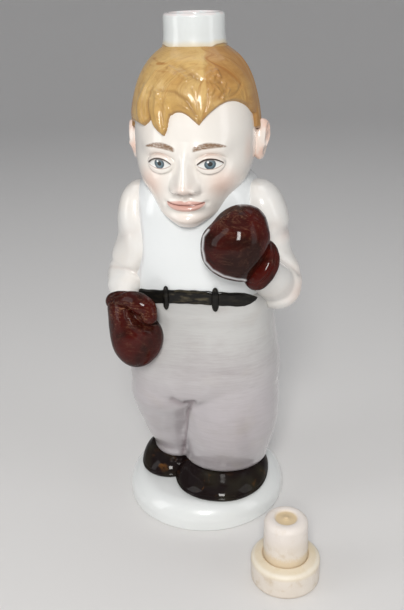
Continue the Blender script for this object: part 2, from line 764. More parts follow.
def trouser_paint():
    finish = Finish("trouser_wash")
    strokes = finish.cloud(0.60, 5.0, 0.70, (0.16, 0.16, 2.2), 0.25)
    bands = finish.cloud(0.11, 3.0, 0.6, (0.40, 0.40, 1.8), 0.6)
    patches = finish.cloud(0.035, 3.0, 0.55)
    thin = finish.z.rise(96, 128) * 0.30 + finish.z.spot(64, 22) * 0.10
    wash = strokes.rise(0.32, 0.70) * 0.26 + bands.rise(0.30, 0.72) * 0.16 + patches.rise(0.3, 0.7) * 0.34
    finish.colour = finish.z.rise(70.0, 110.0).over((0.485, 0.455, 0.475), (0.53, 0.53, 0.52))
    finish.lay((wash - thin).rise(0.0, 1.0), (0.37, 0.335, 0.345))
    finish.lay(finish.cloud(0.07).rise(0.52, 0.72) * 0.25, (0.49, 0.46, 0.42))
    finish.lay(finish.attribute("fold") * 0.7, (0.21, 0.155, 0.17))
    return finish.glazed(SKIN_GLOSS, 0.10, strokes * 0.5 + bands * 0.5)


coat(make_trousers(), trouser_paint(), "trouser_glaze", "trousers")

# %% [markdown]
# ## Singlet
# The chest is one smooth white form. The singlet is only painted: a cool white, with a fine grey line
# where it meets the right arm.

# %% Singlet
SINGLET_EDGE_PIXELS = ((136.8, 182), (139, 203), (142, 232), (143, 256), (139.5, 275), (136, 292))


def make_torso():
    piece = oval_form("singlet_body", CHEST_ROWS, 160, 120)
    points, normals = surface_of(piece)
    smoothed(raise_surface(piece, 0.25 * lumps(points, 24, 8)), 3)
    store(piece, "edge", hill(stroke(points_of(piece), SINGLET_EDGE_PIXELS), 0.6) * facing(normals))
    return piece


def singlet_paint():
    finish = Finish("singlet_glaze")
    finish.white((0.80, 0.83, 0.84), (0.775, 0.805, 0.815))
    finish.lay(finish.attribute("edge") * 0.45, (0.50, 0.44, 0.44))
    return finish.glazed(WHITE_GLOSS, 0.12)


coat(make_torso(), singlet_paint(), "white_glaze", "torso")

# %% [markdown]
# ## Head and face
# The skull is one oval form with more points in front, where the face is. The face is a general one,
# divided by the usual thirds: hairline, brow, nose and chin lie at equal distances, and one eye's
# width fits between the eyes. Its relief is soft, as slip casting leaves it, and calm. The crown is
# sunk into a well, so that the neck above it reads as an open tube.

# %% Head and face
BROW_LINE, EYE_LINE, NOSE_BASE, MOUTH_LINE, CHIN_LINE = 206.5, 201.3, 188.5, 182.5, 174.8
EYE_SIDE, EYE_HALF, LID_RISE, LID_DROP = 11.8, 6.0, 2.7, 1.9
MOUTH_HALF, PAINTED_BROW = 9.3, 208.3
# The well in the crown: the reach of the cap it is made of, and the shares of it at edge and foot.
CAP_REACH, WELL_RADIUS, WELL_EDGE, WELL_FOOT = 13.2, 12.4, 0.92, 0.42
HEAD_WELL_DEPTH, HAIR_WELL_DEPTH = 62, 50
# Where the iris, the pupil and the glint end, each with a soft edge.
IRIS_EDGE, PUPIL_EDGE, GLINT_EDGE = (2.35, 2.65), (0.95, 1.2), (0.38, 0.58)
GLINT_ASIDE, GLINT_UP = 0.85, 1.35
NOSE_PROFILE = (
    (186.6, 0.0),
    (187.9, 0.6),
    (189.2, 4.9),
    (191.0, 7.0),
    (193.5, 6.6),
    (198.0, 4.6),
    (203.0, 2.4),
    (207.0, 1.0),
    (212.0, 0.0),
)
# A hill's rise, its place aside and half width, its level and half height.
FACE_HILLS = {
    "eye socket": (-2.9, EYE_SIDE, 7.6, EYE_LINE, 4.8),
    "tip of the nose": (1.1, 0, 4.0, 191.3, 3.2),
    "wing of the nose": (2.7, 5.0, 2.0, 190.2, 2.1),
    "groove by the wing": (-0.35, 7.4, 0.8, 190.4, 2.6),
    "nostril": (-1.8, 2.5, 1.1, NOSE_BASE, 0.8),
    "mouth's roundness": (1.6, 0, 11.5, 182.5, 6.0),
    "groove above the lip": (-0.45, 0, 1.1, 186.0, 1.6),
    "corner of the mouth": (-0.5, MOUTH_HALF + 0.3, 1.2, MOUTH_LINE + 0.6, 1.3),
    "dip below the lip": (-1.2, 0, 7.0, 178.4, 1.7),
    "chin": (1.9, 0, 6.4, CHIN_LINE, 3.8),
    "cheekbone": (1.3, 17, 7.5, 192.0, 6.5),
    "hollow of the cheek": (-0.9, 20.5, 5.5, 182.5, 6.0),
    "temple": (-0.9, 25, 5.5, 207.5, 6.0),
}
# A blush's strength, its place aside and reach, its level and reach.
FACE_BLUSHES = {
    "cheek": (0.55, 17.5, 13, 191.0, 13),
    "chin": (0.35, 0, 14, 174, 9),
    "nose": (0.40, 0, 8, 190.5, 7),
    "eye socket": (0.28, EYE_SIDE, 12, 205.0, 8),
    "temple": (0.40, 27.5, 3.5, 204.0, 16),
}


def sink_crown(points, top, depth):
    """Turns the flat cap at the top of a skull form into a narrow well under the neck."""
    turn, reach = polar(points)
    cap = (points[:, 2] > top - 0.05) & (reach < CAP_REACH)
    share, turn = reach[cap] / CAP_REACH, turn[cap]
    radius = WELL_RADIUS * np.minimum(share / WELL_FOOT, 1)
    level = top - depth * np.clip((WELL_EDGE - share) / (WELL_EDGE - WELL_FOOT), 0, 1)
    points[cap] = np.stack([radius * np.cos(turn), radius * np.sin(turn), level], 1)
    return points


def face_relief(x, z):
    """How far each point of the face comes forward, in millimetres."""
    side = np.abs(x)
    across, up = side - EYE_SIDE, z - EYE_LINE
    height = sum(
        rise * hill(side - place, width) * hill(z - level, tall)
        for rise, place, width, level, tall in FACE_HILLS.values()
    )
    height += 1.1 * hill(z - BROW_LINE - 1.2, 3.4) * step(side, 1.5, 6) * (1 - step(side, 16, 23))
    ball = np.clip(1 - (across / 7.2) ** 2 - (up / 4.9) ** 2, 0, 1)
    height += 2.9 * np.sqrt(ball) * step(ball, 0, 0.35)
    arch = np.clip(1 - (across / EYE_HALF) ** 2, 0, 1)
    lids = 0.55 * step(up - LID_RISE * arch, -0.15, 0.25) + 0.35 * step(-LID_DROP * arch - up, -0.15, 0.25)
    height += lids * step(ball, 0.0, 0.3)
    height -= 0.55 * hill(up - 4.7 + 0.055 * across**2, 0.6) * (1 - step(np.abs(across), 5.5, 8))
    nose = eased(NOSE_PROFILE, np.clip(z, NOSE_PROFILE[0][0], NOSE_PROFILE[-1][0]))[:, 1]
    height += nose * np.exp(-((side / (2.9 + 1.9 * (1 - step(z, 190, 203)))) ** 2.4))
    mouth = np.clip(1 - (side / MOUTH_HALF) ** 2, 0, 1)
    height += 1.25 * mouth * hill(z - MOUTH_LINE - 1.5 * mouth, 1.3)
    height += 1.45 * mouth * hill(z - MOUTH_LINE + 1.7 * mouth, 1.5)
    return height - 1.1 * hill(z - MOUTH_LINE - 0.012 * side**2, 0.5) * step(mouth, 0.0, 0.25)


def make_head():
    piece = oval_form("head_form", SKULL_ROWS, 340, 280, 0.42)
    points, normals = surface_of(piece)
    front = step(-points[:, 1], 6, 22)
    height = face_relief(points[:, 0], points[:, 2]) * front
    forward = normals * (0.45, 0.45, 0.3)
    forward[:, 1] -= 0.55 * front
    return move_points(piece, sink_crown(points + unit(forward) * height[:, None], SCALP, HEAD_WELL_DEPTH))


def skin_wash(finish, blush, pale=(0.83, 0.795, 0.745)):
    """A warm white skin with a peach blush where the mask is strong."""
    pool = finish.cloud(0.05)
    finish.colour = (pool.rise(0.35, 0.68) * 0.6).over(pale, (0.82, 0.765, 0.705))
    finish.lay((blush * (0.75 + pool * 0.5)).rise(0.0, 1.0), (0.80, 0.53, 0.42))


def painted_eye(x, across, up, above):
    """An iris with its pupil and glint in a white eye, shaded under the upper lid."""
    middle = (across * across + (up - 0.35) * (up - 0.35)).root()
    iris = middle.rise(1.0, 2.5).over((0.13, 0.20, 0.24), (0.03, 0.055, 0.075))
    eye = (1.0 - middle.rise(*IRIS_EDGE)).over((0.80, 0.80, 0.78), iris)
    eye = (1.0 - middle.rise(*PUPIL_EDGE)).over(eye, (0.006, 0.005, 0.005))
    aside = (x + EYE_SIDE + GLINT_ASIDE).size().least((x - EYE_SIDE + GLINT_ASIDE).size())
    glint = (aside * aside + (up - GLINT_UP) * (up - GLINT_UP)).root()
    eye = (1.0 - glint.rise(*GLINT_EDGE)).over(eye, (0.95, 0.95, 0.95))
    return (above.spot(-0.35, 0.9) * 0.5).over(eye, (0.40, 0.36, 0.34))


def head_paint():
    finish = Finish("head_glaze")
    x = finish.x + (finish.cloud(0.30, 1.0) - 0.5) * 0.35
    z = finish.z + (finish.cloud(0.26, 1.0, 0.5, (1, 1, 1.3)) - 0.5) * 0.35
    side = x.size()
    across, up = side - EYE_SIDE, z - EYE_LINE
    front = (finish.y * -1.0).rise(10.0, 16.0)
    blush = (1.0 - finish.z.rise(172.0, 183.0)) * 0.35
    for strength, place, width, level, tall in FACE_BLUSHES.values():
        blush = blush.most(side.spot(place, width) * z.spot(level, tall) * strength)
    skin_wash(finish, blush)
    arch = across.dome(0.0, EYE_HALF).most(0.0)
    above, below = up - arch * LID_RISE, up + arch * LID_DROP
    opening = below.rise(-0.12, 0.12) * (1.0 - above.rise(-0.12, 0.12)) * arch.rise(0.02, 0.10) * front
    finish.lay(opening, painted_eye(x, across, up, above))
    lash = above.spot(0.15, 0.75).rise(0.1, 0.6) * arch.rise(0.0, 0.12) * front
    finish.lay(lash, (0.055, 0.028, 0.016))
    under = below.spot(-0.10, 0.40).rise(0.1, 0.7) * arch.rise(0.05, 0.3) * front * 0.55
    finish.lay(under, (0.26, 0.12, 0.08))
    crease = (up - 4.7 + across * across * 0.055).spot(0.0, 0.6) * across.size().spot(0, 7.5)
    finish.lay(crease * front * 0.45, (0.42, 0.22, 0.15))
    brow = z - PAINTED_BROW - side.dome(12.0, 8.0) * 1.7
    hairs = finish.cloud(1.1, 2.0, 0.5, (0.6, 1, 1.8)).rise(0.25, 0.6)
    thick = side.dome(9.5, 10.5).most(0.0) * 1.35
    strong = (thick - brow.size()).rise(-0.35, 0.45) * side.rise(3.6, 5.2) * (1.0 - side.rise(18.0, 19.6))
    finish.lay(strong * front * (0.55 + hairs * 0.4), (0.20, 0.105, 0.045))
    bow = side.dome(0.0, MOUTH_HALF).most(0.0)
    line = z - MOUTH_LINE - side * side * 0.012
    upper = (bow * 2.5 - side.spot(0, 2.2) * 0.5 - line).rise(-0.25, 0.35) * line.rise(-0.2, 0.1)
    lower = (bow.root() * 3.0 + line).rise(-0.3, 0.5) * (1.0 - line.rise(-0.2, 0.1))
    finish.lay(upper.most(lower) * bow.rise(0.0, 0.12) * front * 0.72, (0.60, 0.245, 0.185))
    parting = line.spot(0.0, 0.45).rise(0.1, 0.7) * bow.rise(0.0, 0.15) * front
    finish.lay(parting * 0.85, (0.24, 0.075, 0.05))
    nostril = (side.spot(2.5, 1.5) * z.spot(NOSE_BASE - 0.1, 1.0) * front).rise(0.15, 0.6) * 0.6
    finish.lay(nostril, (0.30, 0.12, 0.09))
    return finish.glazed(SKIN_GLOSS, 0.10)


coat(make_head(), head_paint(), "skin_glaze", "head")

# %% [markdown]
# ## Ears
# Each ear is an egg pressed flat against the head. A raised rim, a groove inside it, the inner bowl and
# the small flap in front of it are pressed into its outer face.

# %% Ears
SIDES = {"right": -1, "left": 1}
EAR_CENTRE, EAR_HALVES = (31.8, 2.1, 205.7), (3.6, 6.6, 9.9)


def make_ear(hand):
    side = SIDES[hand]
    centre = np.array(EAR_CENTRE) * (side, 1, 1)
    piece = egg(hand + "_ear_shell", centre, EAR_HALVES, 150, 120)
    points = points_of(piece)
    offset = points - centre
    across, up = offset[:, 1] / EAR_HALVES[1], offset[:, 2] / EAR_HALVES[2]
    outer = step(offset[:, 0] * side, -0.6, 1.2)
    across = across * (1 + 0.22 * step(-up, 0.2, 1.0))
    reach = np.hypot(across, up)
    bow = 1 - step(-up, 0.35, 0.85)
    height = 1.0 * hill(reach - 0.84, 0.13) * (0.35 + 0.65 * bow)
    height -= 1.1 * hill(reach - 0.62, 0.11) * bow * step(across + 0.7, 0.0, 0.5)
    height += 0.7 * hill(reach - 0.44, 0.10) * bow * step(across + 0.1, 0.0, 0.4)
    height -= 2.1 * hill(across + 0.08, 0.30) * hill(up + 0.10, 0.34)
    height += 1.3 * hill(across + 0.62, 0.16) * hill(up + 0.16, 0.16)
    points[:, 0] += side * (height * outer + 0.16 * offset[:, 1] - 1.5 * hill(up + 0.55, 0.5))
    points[:, 1] += 0.10 * offset[:, 2]
    return smoothed(move_points(piece, points), 2)


def ear_paint():
    finish = Finish("ear_glaze")
    skin_wash(finish, finish.cloud(0.12, 2.0).rise(0.30, 0.65) * 0.5 + 0.25)
    return finish.glazed(SKIN_GLOSS)


ear_glaze = ear_paint()
for hand in SIDES:
    coat(make_ear(hand), ear_glaze, "skin_glaze", hand + "_ear")

# %% [markdown]
# ## Hair
# The hair is the same skull form again, raised above the skin inside the hairline and sunk below it
# elsewhere. Its hairline is two locks, a dip, a peak and a high temple. The strands follow guide
# strokes: each stroke has a number, every point of the hair takes a number from the strokes near it,
# and a ripple over that number gives strands that run along the strokes. Single ridges and grooves
# are added on top where a lock or a tuft stands out.

# %% Hairline and strokes, in pixels of the photograph
HAIRLINE_PIXELS = (
    ((136, 119), (140, 123.5), (145, 126)),
    ((145, 126), (149, 122.5), (152.5, 118)),
    ((152.5, 118), (154, 124), (158, 131), (164.5, 136.5)),
    (
        (164.5, 136.5), (167.6, 128), (169, 120), (173, 114.8), (180, 112.8), (187.5, 116),
        (194, 121.5), (199, 126),
    ),
    (
        (199, 126), (204, 119.5), (211, 112.5), (220, 105.6), (230, 101.5), (239, 102.3),
        (247.5, 107.5), (254, 115),
    ),
)
# A stroke's number and pixels.
STROKE_PIXELS = (
    (0.0, ((196, 49), (175, 51), (155, 59), (140, 78), (134, 100), (133, 116))),
    (1.0, ((198, 56), (178, 58), (158, 68), (146, 88), (141, 110), (144, 125))),
    (2.0, ((200, 62), (182, 65), (166, 75), (154, 92), (151, 110), (152, 119))),
    (3.0, ((201, 68), (186, 70), (172, 80), (161, 94), (158, 114), (164, 136))),
    (4.0, ((198, 76), (186, 78), (174, 86), (170, 96), (182, 104), (197, 125))),
    (5.0, ((200, 80), (190, 87), (188, 96), (194, 110), (199, 125))),
    (6.0, ((203, 82), (203, 95), (202, 110), (199, 125))),
    (7.0, ((207, 80), (215, 90), (212, 104), (200, 124))),
    (8.0, ((206, 72), (219, 77), (230, 88), (229, 100))),
    (9.0, ((205, 62), (222, 66), (240, 80), (249, 104))),
    (10.0, ((204, 52), (225, 56), (245, 74), (256, 96), (259, 116))),
)
# The rise or depth of a line, its half width and its pixels.
RIDGE_PIXELS = (
    (1.0, 0.9, ((171, 71), (178, 75), (186, 81))),
    (0.7, 2.0, ((149, 90), (143, 104), (144, 120))),
    (1.0, 1.5, ((160, 97), (158.5, 112), (163.5, 132))),
    (0.7, 0.7, ((152, 94), (156, 91), (161, 94))),
    (0.6, 0.6, ((153, 99.5), (158, 97.5), (162, 100))),
    (0.9, 0.8, ((205, 79), (209, 75.5))),
    (1.1, 0.9, ((211, 81), (214.5, 74), (217, 80))),
    (1.0, 0.8, ((209.5, 95), (213, 88.5), (217, 94))),
    (0.8, 0.7, ((221, 98), (226, 91.5))),
    (0.5, 0.8, ((162, 104), (176, 102), (189, 110), (197, 121))),
)
GROOVE_PIXELS = (
    (0.7, 1.1, ((181, 69), (190, 76), (200, 83))),
    (1.1, 0.9, ((155, 90), (150.5, 103), (151.5, 118))),
    (0.7, 0.7, ((163, 92), (176, 93), (187, 101), (196, 116))),
    (0.6, 0.6, ((166, 100), (163.5, 112), (165.5, 128))),
    (0.6, 0.7, ((207, 84), (212, 85), (219, 84))),
    (0.7, 0.6, ((218, 99), (223, 93), (225, 86))),
    (0.5, 0.5, ((192, 90), (197, 106), (199, 122))),
    (0.5, 0.5, ((207, 92), (206, 106), (200, 122))),
    (0.6, 0.7, ((238, 86), (234, 94), (226, 99))),
)
FACET_PIXELS = ((203, 50), (204, 64), (203, 80))
# How far back the hair's edge lies over the ear and by the temple, and the levels between them.
EAR_EDGE, TEMPLE_EDGE, TEMPLE_LEVELS = 4.0, -8.3, (209.0, 214.0)
# How low the hair reaches at the nape and above it at the sides, and the places between them.
NAPE_LEVEL, SIDE_LEVEL, NAPE_SIDES = 193.0, 200.0, (4.0, 28.0)


def strand_numbers(points):
    """For each point, the number of the guide stroke it lies on, read between strokes."""
    total, weights = np.zeros(len(points)), np.zeros(len(points))
    for number, pixels in STROKE_PIXELS:
        guide = on_skull(pixels)
        for start, end in zip(guide[:-1], guide[1:]):
            for part in (0, 0.25, 0.5, 0.75):
                sample = start + part * (end - start)
                weight = 1 / (((points - sample) ** 2).sum(1) + 2.0) ** 2
                total += weight * number
                weights += weight
    return total / weights


def ripple(values, seed):
    """Smooth noise along one number, from about -1 to 1."""
    return lumps(np.stack([values, 0 * values + seed, 0 * values], 1), 1.0, seed)


def skull_hills(points, lines):
    return sum(rise * hill(near(points, on_skull(pixels)), width) for rise, width, pixels in lines)


def hairline_height(x):
    """The height of the hair's edge over the forehead at each place across it."""
    height = np.zeros(len(x))
    for run in HAIRLINE_PIXELS:
        places = on_skull(run)[:, (0, 2)]
        here = x >= places[0, 0]
        height[here] = eased(places, np.clip(x[here], places[0, 0], places[-1, 0]))[:, 1]
    first, last = on_skull((HAIRLINE_PIXELS[0][0], HAIRLINE_PIXELS[-1][-1]))
    height = np.where(x < first[0], first[2] + 1.2 * (x - first[0]), height)
    return np.where(x > last[0], last[2] - 2.0 * (x - last[0]), height)


def hair_inside(x, y, z):
    """How far inside the hairline each point lies, in millimetres, and below nothing outside it."""
    front_edge = EAR_EDGE + (TEMPLE_EDGE - EAR_EDGE) * step(z, *TEMPLE_LEVELS)
    low_edge = NAPE_LEVEL + (SIDE_LEVEL - NAPE_LEVEL) * step(np.abs(x), *NAPE_SIDES)
    inside = np.maximum(z - hairline_height(x), np.minimum(y - front_edge, z - low_edge))
    return np.clip(inside, -12, 12)


# %% Hair
def make_hair():
    piece = oval_form("hair_cap", SKULL_ROWS, 360, 288, 0.36)
    points, normals = surface_of(piece)
    x, y, z = points.T
    inside, number = hair_inside(x, y, z), strand_numbers(points)
    back = step(y, -14, -2)
    around = points[:, :2] / (np.hypot(x, y)[:, None] + 0.01)
    tufts, wisps = (np.column_stack([around * count, 0 * x]) for count in (7, 22))
    wide = ripple(number * 1.9, 3) * (1 - back) + lumps(tufts, 1.0, 21) * back
    thin = ripple(number * 6.0, 9) * (1 - back) + lumps(wisps, 1.0, 5) * back
    facet = on_skull(FACET_PIXELS)
    aside = x - np.interp(z, facet[::-1, 2], facet[::-1, 0])
    low, high = facet[-1, 2], facet[1, 2]
    parting = hill(aside, 3.0) * step(z, low - 3, low + 2) * (1 - back)
    height = (0.24 * wide + 0.08 * thin) * (1 - parting) + skull_hills(points, RIDGE_PIXELS)
    groove = skull_hills(points, GROOVE_PIXELS)
    raised = (1 - step(aside, -1.0, 1.2)) * step(z, low - 1, low + 4) * step(aside, -16, -3)
    height = (height + 0.6 * raised * (1 - back)) * (1 - step(z, high - 1, high + 3)) - 0.8 * groove
    lift = -0.8 + 2.4 * step(inside, -0.5, 0.9) + 0.5 * step(inside, 0.6, 4.0)
    lift += height * step(inside, 0.0, 1.6) - 5.2 * step(-inside, 1.0, 6.0)
    store(piece, "strand", number)
    store(piece, "inside", inside)
    store(piece, "groove", groove + 0.5 * step(-wide, 0.25, 0.9) * (1 - parting))
    store(piece, "parting", parting)
    store(piece, "facet", raised)
    return move_points(piece, sink_crown(points + normals * lift[:, None], SCALP, HAIR_WELL_DEPTH))


def hair_paint():
    finish = Finish("hair_glaze")
    number = finish.attribute("strand")
    flow = finish.start.node("ShaderNodeCombineXYZ", X=number, Y=finish.z * 0.030, Z=finish.x * 0.015)
    behind = finish.start.node("ShaderNodeCombineXYZ", X=finish.x, Y=finish.y, Z=0.0)
    behind = behind.node("ShaderNodeVectorMath", {"operation": "NORMALIZE"}, s0=behind)
    back = finish.y.rise(-14.0, -2.0)
    fine = flow.cloud(9.0, 5.0, 0.65) * (1.0 - back) + behind.cloud(20.0, 5.0) * back
    broad = flow.cloud(1.7) * (1.0 - back) + behind.cloud(5.0, 2.0) * back
    streak = fine.rise(0.36, 0.70) * (1.0 - finish.attribute("parting"))
    bands = finish.cloud(0.22, 4.0, 0.5, (0.25, 0.5, 2.4)).rise(0.48, 0.70)
    patch = finish.cloud(0.07, 2.0).rise(0.35, 0.65)
    right = (number - 5.2).rise(0.0, 1.6)
    side = (finish.x.size() - 24.5).rise(0.0, 4.5)
    brown = right * (0.30 + finish.z.rise(226.0, 240.0) * 0.45) + broad.rise(0.46, 0.72) * 0.42
    brown = brown.most(bands * finish.z.rise(238.0, 244.0) * (1.0 - back) * 0.9)
    brown = brown.most(side * 0.75) - finish.attribute("facet") * 0.22
    finish.colour = patch.over((0.63, 0.425, 0.165), (0.56, 0.35, 0.115))
    dark = broad.over((0.43, 0.205, 0.048), (0.33, 0.130, 0.028))
    finish.lay((brown * 0.80 + streak * 0.20).rise(0.05, 1.0), dark)
    finish.lay(streak * 0.40, (0.33, 0.18, 0.06))
    finish.lay((finish.attribute("groove") * 0.55).rise(0.0, 1.0), (0.27, 0.14, 0.045))
    finish.lay((1.0 - finish.attribute("inside").rise(0.2, 1.8)) * 0.45, (0.33, 0.18, 0.07))
    return finish.glazed(HAIR_GLOSS, 0.12, fine)


coat(make_hair(), hair_paint(), "hair_glaze", "hair")

# %% [markdown]
# ## Arms
# Each arm is an upper arm made of ovals and a forearm that runs up or down to the glove. The two are
# melted together, so that the elbow is one soft bend, and a fold is pressed in where the arm creases.

# %% Arms
ELBOW = WAIST - 14.7
ARM_SPAN = 71.0
ARM_SHARES = {
    "right": (
        (0.05, 0.26, -0.62, 0.28, 0.22, 2.0),
        (0.09, 0.27, -0.61, 0.62, 0.5, 2.0),
        (0.15, 0.27, -0.6, 0.88, 0.72, 2.0),
        (0.24, 0.22, -0.58, 0.97, 0.84, 2.0),
        (0.36, 0.06, -0.58, 1.0, 0.92, 2.0),
        (0.5, -0.16, -0.6, 0.96, 0.96, 2.1),
        (0.64, -0.28, -0.62, 0.96, 1.02, 2.1),
        (0.78, -0.33, -0.62, 0.85, 1.0, 2.1),
        (0.88, -0.4, -0.58, 0.66, 0.84, 2.1),
        (0.95, -0.46, -0.52, 0.36, 0.52, 2.0),
    ),
    "left": (
        (0.0, 0.57, -0.36, 0.3, 0.24, 2.0),
        (0.03, 0.59, -0.34, 0.66, 0.54, 2.0),
        (0.08, 0.61, -0.32, 0.95, 0.8, 2.0),
        (0.17, 0.65, -0.26, 1.08, 0.92, 2.0),
        (0.3, 0.54, -0.28, 1.08, 0.93, 2.0),
        (0.46, 0.3, -0.34, 1.02, 0.95, 2.1),
        (0.64, 0.12, -0.44, 1.03, 1.02, 2.1),
        (0.79, 0.0, -0.5, 0.93, 1.02, 2.1),
        (0.89, -0.13, -0.5, 0.72, 0.86, 2.1),
        (0.96, -0.28, -0.46, 0.4, 0.54, 2.0),
    ),
}
FIST_CENTRES = {"right": (-28.5, -35.2, WAIST - 20.7), "left": (24.6, -40.6, WAIST + 31.1)}
FIST_HALVES = {"right": (13.8, 13.2, 17.6), "left": (15.6, 15.2, 18.6)}
LEFT_CUFF = np.array(FIST_CENTRES["left"]) + np.array((0.67, 0.66, -0.74)) * FIST_HALVES["left"]
RIGHT_CUFF = (-35.0, -30.6, 129.4)
CUFF_RADIUS, LEFT_CUFF_LENGTH = 12.9, 10.5
ELBOW_SHARES = {"right": (0.22, -0.78, 0.26), "left": (0.61, -0.32, 0.17)}
# Where each forearm ends, and its radii from the elbow on.
FOREARMS = {"right": (RIGHT_CUFF, (9.8, 8.8, 5.6)), "left": (LEFT_CUFF, (10.6, 10.6, 9.2))}
FOLD_PIXELS = {
    "right": ((109, 266), (118, 267.5), (128, 269.5), (138, 274)),
    "left": ((279, 258.5), (286, 262), (293, 267), (300, 274.5)),
}
CREASE_PIXELS = {
    "right": ((116, 238), (124, 234), (134, 232)),
    "left": ((287.5, 230), (281, 227.5), (272, 226.5)),
}
# Each swell or dent of an arm: its level and half height, and how far across and back it moves the
# arm's outside and the rest of it.
ARM_PUSHES = {
    "right": (
        (153, 16, (0, 0), (5.6, -4.2)),
        (161, 4, (1.0, 0), (0, 0)),
        (145.5, 1.8, (0.9, 0), (0, 0)),
        (136.5, 5.5, (-0.6, -1.6), (-0.6, -1.6)),
    ),
    "left": ((162.5, 3.5, (-1.5, 0), (0, 0)), (152, 8, (-1.6, 0), (0, 0))),
}


def make_upper_arm(hand):
    """The ovals from elbow to shoulder, with the shoulder's top rounded off."""
    rows = real_rows(ARM_SHARES[hand], ELBOW, ELBOW + ARM_SPAN, *ARM_HALVES)
    rows[:, 1] = SIDES[hand] * (CHEST_HALVES[0] + rows[:, 1])
    piece = oval_form(hand + "_upper", rows)
    points, top = points_of(piece), rows[-1, 0]
    offset = (points[:, :2] - rows[-1, 1:3]) / rows[-1, 3:5]
    points[:, 2] -= 0.8 * np.clip((offset**2).sum(1), 0, 1) * step(points[:, 2], top - 3, top)
    return move_points(piece, points)


def make_arm(hand):
    side = SIDES[hand]
    out, behind, up = ELBOW_SHARES[hand]
    elbow = (side * (CHEST_HALVES[0] + out * ARM_HALVES[0]), behind * ARM_HALVES[1], ELBOW + up * ARM_SPAN)
    wrist, radii = FOREARMS[hand]
    forms = [make_upper_arm(hand), limb(hand + "_forearm", (elbow, wrist), radii)]
    piece = fused(forms, hand + "_arm_skin", 0.7, 10)
    points, normals = surface_of(piece)
    outer = step(points[:, :1] * side, 38, 44)
    for level, tall, outside, rest in ARM_PUSHES[hand]:
        points[:, :2] += hill(points[:, 2:] - level, tall) * (outer * outside + (1 - outer) * rest)
    seen = facing(normals)
    fold, crease = stroke(points, FOLD_PIXELS[hand]), stroke(points, CREASE_PIXELS[hand])
    pressed = 0.6 * hill(fold, 1.0) + 0.4 * hill(crease, 2.2) - 0.30 * hill(fold - 2.6, 1.6)
    points = points + normals * (0.22 * lumps(points, 15, 5) - pressed * seen)[:, None]
    points[:, 0] = np.maximum(points[:, 0], cad_low[0] / MM + 0.1)
    smoothed(move_points(piece, points), 2)
    store(piece, "fold", np.maximum(hill(fold, 0.8) * 0.6, hill(crease, 3.0) * 0.35) * seen)
    return piece


def arm_paint():
    finish = Finish("arm_glaze")
    outer = (finish.x.size() - 43.0).rise(0.0, 12.0) * 0.18
    elbow = finish.z.spot(ELBOW + 8, 20) * (finish.x.size() - 40.0).rise(0.0, 14.0) * 0.45
    band = finish.z.spot(WAIST + 28.0, 8.0) * (finish.x.size() - 38.0).rise(0.0, 8.0) * 0.35
    skin_wash(finish, outer.most(elbow).most(band), (0.82, 0.81, 0.785))
    finish.lay(finish.attribute("fold") * 0.5, (0.56, 0.46, 0.42))
    return finish.glazed(SKIN_GLOSS, 0.10, finish.cloud(0.07, 2.0))


arm_glaze = arm_paint()
for hand in SIDES:
    coat(make_arm(hand), arm_glaze, "skin_glaze", hand + "_arm")

# %% [markdown]
# ## Gloves
# A fist is a padded egg, drawn out to its outline in the photograph. Its seams are pressed in, and the
# glaze is a dark maroon that was brushed on: nearly black where it is thick, red-brown where the
# strokes thin out, and at the very edge the white body shows as a fine rim. The right thumb lies over
# the top of its fist like a hook.

# %% Gloves, cuffs and thumb
FIST_PIXELS = {
    "right": (
        (107, 301), (110, 295.5), (120, 293), (131, 293), (141, 298), (149, 308), (157, 321),
        (161, 324.5), (163.5, 332), (162.8, 343), (159.5, 352), (153, 361), (146, 365.8), (137, 367.3),
        (129, 366), (123.5, 363), (117.5, 357), (113, 349), (111, 340), (110.3, 330), (109.2, 318),
        (108, 309.5),
    ),
    "left": (
        (202, 234.3), (212.5, 223), (222.5, 211.5), (233, 206.3), (245.5, 205), (257, 206.8),
        (265, 215), (268.7, 225.5), (270.5, 235.5), (269.5, 245.5), (265.5, 257), (257.5, 269.5),
        (246, 282.5), (235.5, 281), (222.5, 277.5), (210.5, 270.8), (203, 262), (200.8, 248),
    ),
}
THUMB_PIXELS = ((120, 301), (131, 300), (142, 305), (148.5, 311.5), (149.2, 315.5))
THUMB_DEPTHS = (-37.5, -39.5, -41.0, -42.0, -42.8)
THUMB_RADII = (3.2, 4.2, 5.0, 5.1, 4.2)
THUMB_SEAM_PIXELS = ((134, 309), (141, 311.5), (148, 318))
LEFT_CUFF_PIXELS = (
    (243.5, 281), (248.5, 288.5), (254.7, 291.3), (262, 289.7), (268.5, 284), (274, 276.5),
    (278, 268.5), (279.5, 260), (277.5, 250.5), (273.5, 243.5), (268, 239), (258, 248), (247, 262),
    (242.5, 273),
)
RIM_PIXELS = (
    (208.5, 230), (203.8, 236.5), (202.6, 249), (205, 261.5), (212.5, 269.8), (224, 276),
    (236.5, 279.2), (246, 281),
)
LIGHT_RIM_PIXELS = ((238, 205), (250, 205), (259, 208), (266, 217), (270, 230))
# The strength, half width and pixels of each rim where the white body shows.
FIST_RIMS = {"right": (), "left": ((1.0, 0.45, RIM_PIXELS), (0.55, 0.5, LIGHT_RIM_PIXELS))}
